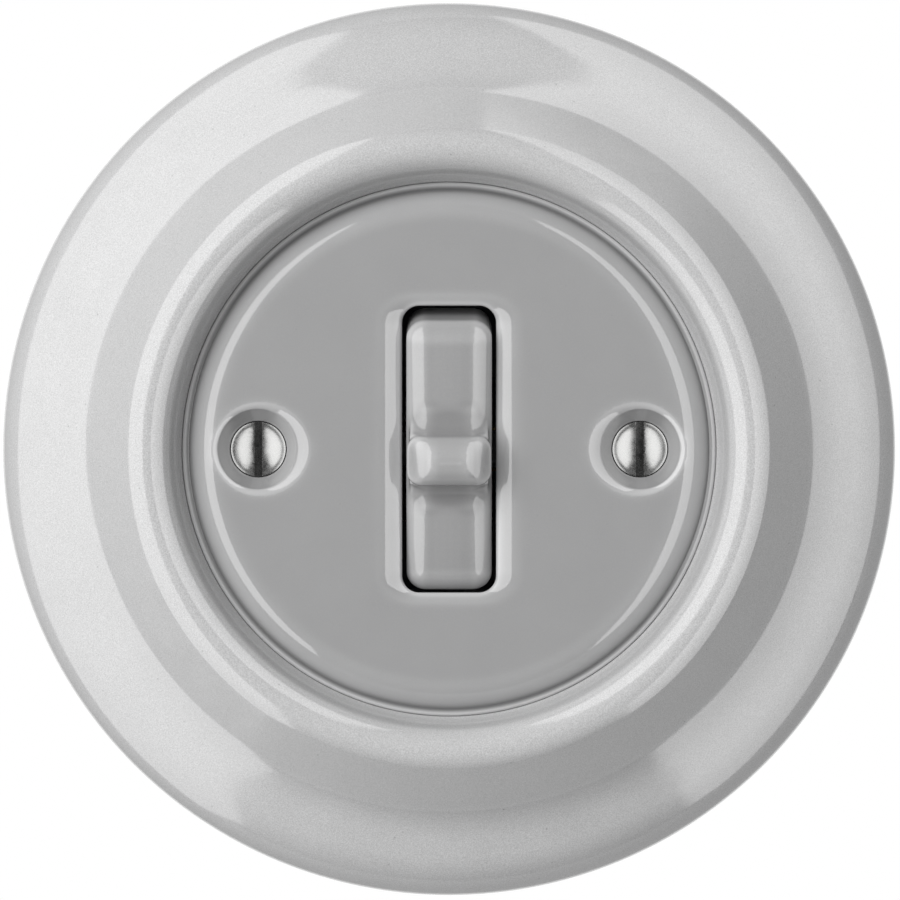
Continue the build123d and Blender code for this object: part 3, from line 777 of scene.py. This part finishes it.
def makeNeck():
    # the block between bar and roll, with a hollow rounding along both sides
    v = toggleBar
    face, middle = neckHeights()
    away = v["rollRadius"] + v["neckRound"]
    reach = sqrt(away**2 - (v["rollCentre"] - middle) ** 2)
    half = v["neckWidth"] / 2
    top = v["rollCentre"] + (middle - v["rollCentre"]) * v["rollRadius"] / away
    neck = addBox("neck", (-half, -top, -reach), (half, -(face - v["neckRoot"]), reach))
    length = v["width"] + 2 * past
    for side in (-1, 1):
        cutWith(neck, addCrossRod("neckCut", v["neckRound"], length, -middle, side * reach))
    bisectRows(neck, 0, half, v["neckRows"])
    for vertex in neck.data.vertices:
        # both ends of the neck fall softly to the bar's sides
        vertex.co.y += v["neckFall"] * max(abs(vertex.co.x / mm) - v["neckFlat"], 0) ** 2 * mm
    return neck


def markNeck(toggle):
    # a vertex group of the neck's roundings, weaker towards their edges
    v = toggleBar
    face, middle = neckHeights()
    group = toggle.vertex_groups.new(name="neck")
    for vertex in toggle.data.vertices:
        x, y, z = (part / mm for part in vertex.co)
        away = sqrt((y + v["rollCentre"]) ** 2 + z**2) - v["rollRadius"] - v["blendEdge"] / 2
        weight = min(away, v["neckRound"] + v["blendEdge"] - away) / v["blendEdge"]
        if weight > 0 and -middle < y < v["neckSink"] - face:
            group.add([vertex.index], min(weight, 1), "REPLACE")


def makeToggle():
    v = toggleBar
    toggle = joinPieces([makeBar(), makeRoll(), makeNeck()])
    skin = toggle.modifiers.new("skin", "REMESH")
    skin.mode = "VOXEL"
    skin.voxel_size = v["voxel"] * mm
    smoothWith(toggle, "even", v["evenRounds"])
    applyModifiers(toggle)
    markNeck(toggle)
    smoothWith(toggle, "blend", v["blendRounds"], "neck")
    applyModifiers(toggle)
    # the groove over the pivot and the socket for the carrier
    cutWith(toggle, addCrossRod("groove", v["groove"], v["width"] + 2 * past))
    width, length, depth = v["socket"]
    low = (-width / 2, -(v["underside"] + depth), -length / 2)
    cutWith(toggle, addBox("socket", low, (width / 2, 0, length / 2)))
    toggle.rotation_euler = (radians(v["tilt"]), 0, 0)
    toggle.location = (0, -v["pivotHeight"] * mm, 0)
    settle(toggle, "toggleBar", v["smoothAngle"])
    measureGlazeAndShade(toggle, v["curveRounds"])
    dress(toggle, "toggle", "toggle_glaze", finish["toggleGlaze"], "toggle")


makeToggle()
print("toggle made")


# The two screws of the cover plate

coverScrew = {
    "x": 21.13, "seat": 10.6, "headRadius": 3.07, "headEdge": 1.15, "headRise": 1.15,
    "edgeRound": 0.18, "edgeChamfer": 0.05,
    "slotWidth": 0.95, "slotDepth": 1.15, "slotBevel": 0.05, "bevelSteps": 2, "bevelAngle": 50,
    "shankRadius": 1.45, "shankLength": 8.5, "tipChamfer": 0.25,
    "crestSteps": 14, "turnSteps": 96, "smoothAngle": 35,
    # painted shade: its level in the slot and beside it, and how far it fades
    "slotPaintedShade": 0.8, "edgeDirt": 0.4, "slotShadeReach": 0.25,
}


def makeCoverScrew(side):
    v = coverScrew
    head, shank = v["headRadius"], v["shankRadius"]
    top = v["seat"] + v["headEdge"] + v["headRise"]
    dome = (head**2 + v["headRise"] ** 2) / (2 * v["headRise"])
    lean = degrees(asin((head - v["edgeRound"]) / dome))
    tip = v["seat"] - v["shankLength"]
    line = [(0.0, tip), (shank - v["tipChamfer"], tip), (shank, tip + v["tipChamfer"])]
    line += [(shank, v["seat"]), (head, v["seat"])]
    crest = arcStations((0, top - dome), dome, lean, 0, v["crestSteps"])
    rim = crest[0][1]
    line += [(head, rim - v["edgeRound"]), (head - v["edgeChamfer"], rim - v["edgeChamfer"])]
    line += crest
    middle = side * v["x"]
    screw = spinSection("coverScrew", line, v["turnSteps"], middle)
    half = v["slotWidth"] / 2
    low = (middle - half, -top - past, -head - past)
    high = (middle + half, v["slotDepth"] - top, head + past)
    cutWith(screw, addBox("slot", low, high))
    bevel = screw.modifiers.new("bevel", "BEVEL")
    bevel.width = v["slotBevel"] * mm
    bevel.segments = v["bevelSteps"]
    bevel.limit_method = "ANGLE"
    bevel.angle_limit = radians(v["bevelAngle"])
    applyModifiers(screw)
    return screw


def paintSlotShade(screws):
    # painted shade darkens the slots, and the edges beside them less and less further away
    v = coverScrew
    mesh = screws.data
    half = v["slotWidth"] / 2
    paintedShade = mesh.attributes.new("slotPaintedShade", "FLOAT", "CORNER")
    for polygon in mesh.polygons:
        inSlot = abs(abs(polygon.center.x / mm) - v["x"]) < half - nearly
        for corner in polygon.loop_indices:
            place = mesh.vertices[mesh.loops[corner].vertex_index].co
            away = max(abs(abs(place.x / mm) - v["x"]) - half, 0)
            paintedShade.data[corner].value = (
                v["slotPaintedShade"] if inSlot else v["edgeDirt"] * exp(-away / v["slotShadeReach"])
            )


def makeCoverScrews():
    screws = joinPieces([makeCoverScrew(side) for side in (-1, 1)])
    settle(screws, "coverScrews", coverScrew["smoothAngle"])
    paintSlotShade(screws)
    dress(screws, "base", "screw_nickel", finish["nickel"], "cover_screws")


makeCoverScrews()
print("cover screws made")


# The CAD pieces that keep their own shape

cadFinish = {
    "cover_posts": "brass", "mounting_strap": "zincSteel", "switch_base": "baseMoulding",
    "rear_cover": "baseMoulding", "bearing_bridge": "bridgeMoulding", "bridge_screws": "zincSteel",
    "pivot_pin": "groundSteel", "toggle_carrier": "carrierMoulding", "plunger": "brass",
    "plunger_spring": "groundSteel", "contact_blade": "brass", "moving_contacts": "silver",
    "fixed_contacts": "silver", "common_terminal": "brass", "upper_terminal": "brass",
    "lower_terminal": "brass", "terminal_screws": "zincSteel",
}
for node, look in cadFinish.items():
    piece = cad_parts[node]
    piece.data.materials.clear()
    piece.data.materials.append(finish[look])
print("CAD pieces finished")


# Floor, lights and camera, in metres

studio = {
    "cameraDistance": 1.0, "cameraShift": 0.0001, "photoWidth": 900, "photoRingWidth": 892,
    "ringDiameter": 0.100, "floorDrop": 1.1, "floorSize": 3, "floorColour": (0.80, 0.80, 0.80, 1),
    "floorRoughness": 0.9, "fill": 0.42,
    "key": {"azimuth": -31.7, "elevation": 18, "distance": 1.3, "size": 0.9, "level": 0.93},
}

# Each corner is a turn round the switch, with the least and the greatest tilt of the surface that
# mirrors the panel there. The two rooms stand behind the panels and darken what mirrors past them.
lightPanels = {
    "leftPanel": {
        "corners": [(104, 45, 48), (112, 22, 54), (125, 16.5, 52), (150, 12, 50), (180, 10.5, 49),
                    (200, 11, 53), (220, 13.5, 54), (236, 17.5, 54.5), (241, 44, 46)],
        "strength": 2.0, "distance": 0.75, "columns": 24,
    },
    "rightPanel": {
        "corners": [(-56, 26, 48), (-50, 19, 50), (-25, 9, 48), (20, 9, 49), (45, 14, 54.5),
                    (68, 20, 54.5), (84, 53, 55)],
        "strength": 2.0, "distance": 0.75, "columns": 24,
    },
    "darkRoom": {"corners": [(0, 0.2, 50), (360, 0.2, 50)], "strength": 0.10, "distance": 0.85,
                 "columns": 48},
    "dimRoom": {"corners": [(0, 50, 75), (360, 50, 75)], "strength": 0.5, "distance": 0.85,
                "columns": 48},
}


def makeWorld():
    world = bpy.data.worlds.new("studioWorld")
    bpy.context.scene.world = world
    world.use_nodes = True
    nodes, links = world.node_tree.nodes, world.node_tree.links
    background = nodes["Background"]
    path = nodes.new("ShaderNodeLightPath")
    seen = path.outputs["Is Camera Ray"]
    for ray in ("Is Glossy Ray", "Is Transmission Ray"):
        seen = addMath(nodes, links, "MAXIMUM", seen, path.outputs[ray])
    level = addRange(nodes, links, seen, 0, 1, studio["fill"], 1.0)
    background.inputs["Color"].default_value = (1, 1, 1, 1)
    links.new(level, background.inputs["Strength"])


def makeFloor():
    clearSelection()
    bpy.ops.mesh.primitive_plane_add(size=studio["floorSize"], location=(0, 0, -studio["floorDrop"]))
    floor = bpy.context.active_object
    floor.name = "studioFloor"
    bpy.ops.object.transform_apply(location=True, rotation=True, scale=True)
    material, nodes, links, shader = newMaterial("paleFloor")
    shader.inputs["Base Color"].default_value = studio["floorColour"]
    shader.inputs["Roughness"].default_value = studio["floorRoughness"]
    floor.data.materials.append(material)


def addPanel(name):
    # a curved light panel, drawn by where it shows in a surface that mirrors it
    v = lightPanels[name]
    clearSelection()
    bpy.ops.mesh.primitive_grid_add(x_subdivisions=v["columns"], y_subdivisions=8, size=2)
    panel = bpy.context.active_object
    panel.name = name
    turns, least, greatest = zip(*v["corners"])
    for vertex in panel.data.vertices:
        turn = turns[0] + (vertex.co.x + 1) / 2 * (turns[-1] - turns[0])
        inner = np.interp(turn, turns, least)
        outer = np.interp(turn, turns, greatest)
        away = radians(2 * (inner + (vertex.co.y + 1) / 2 * (outer - inner)))
        spot = (sin(away) * cos(radians(turn)), -cos(away), sin(away) * sin(radians(turn)))
        vertex.co = [part * v["distance"] for part in spot]
    material = bpy.data.materials.new(name)
    material.use_nodes = True
    nodes = material.node_tree.nodes
    nodes.remove(nodes["Principled BSDF"])
    glow = addNode(nodes, "ShaderNodeEmission", Strength=v["strength"])
    surface = nodes["Material Output"].inputs["Surface"]
    material.node_tree.links.new(glow.outputs["Emission"], surface)
    panel.data.materials.append(material)
    panel.visible_camera = False
    panel.visible_diffuse = False
    panel.visible_shadow = False


def addKeyLight():
    # a soft lamp that isn't mirrored, and level is the light that it gives a white face turned to it
    key = studio["key"]
    light = bpy.data.lights.new("keyLight", "AREA")
    light.size = key["size"]
    light.energy = key["level"] * (pi * key["distance"]) ** 2
    lamp = bpy.data.objects.new("keyLight", light)
    bpy.context.scene.collection.objects.link(lamp)
    azimuth, elevation = radians(key["azimuth"]), radians(key["elevation"])
    flat = key["distance"] * cos(elevation)
    lamp.location = (flat * sin(azimuth), -flat * cos(azimuth), key["distance"] * sin(elevation))
    lamp.rotation_euler = (pi / 2 - elevation, 0, azimuth)
    lamp.visible_glossy = False


def makeCamera():
    camera = bpy.data.cameras.new("camera")
    holder = bpy.data.objects.new("camera", camera)
    bpy.context.scene.collection.objects.link(holder)
    seen = studio["ringDiameter"] * studio["photoWidth"] / studio["photoRingWidth"]
    camera.lens = camera.sensor_width * studio["cameraDistance"] / seen
    camera.clip_end = 10
    shift = studio["cameraShift"]  # brings the object to its place in the photo
    holder.location = (shift, -studio["cameraDistance"], -shift)
    holder.rotation_euler = (pi / 2, 0, 0)
    bpy.context.scene.camera = holder


makeWorld()
makeFloor()
for name in lightPanels:
    addPanel(name)
addKeyLight()
makeCamera()
bpy.context.scene.view_settings.view_transform = "Standard"
print("studio ready")
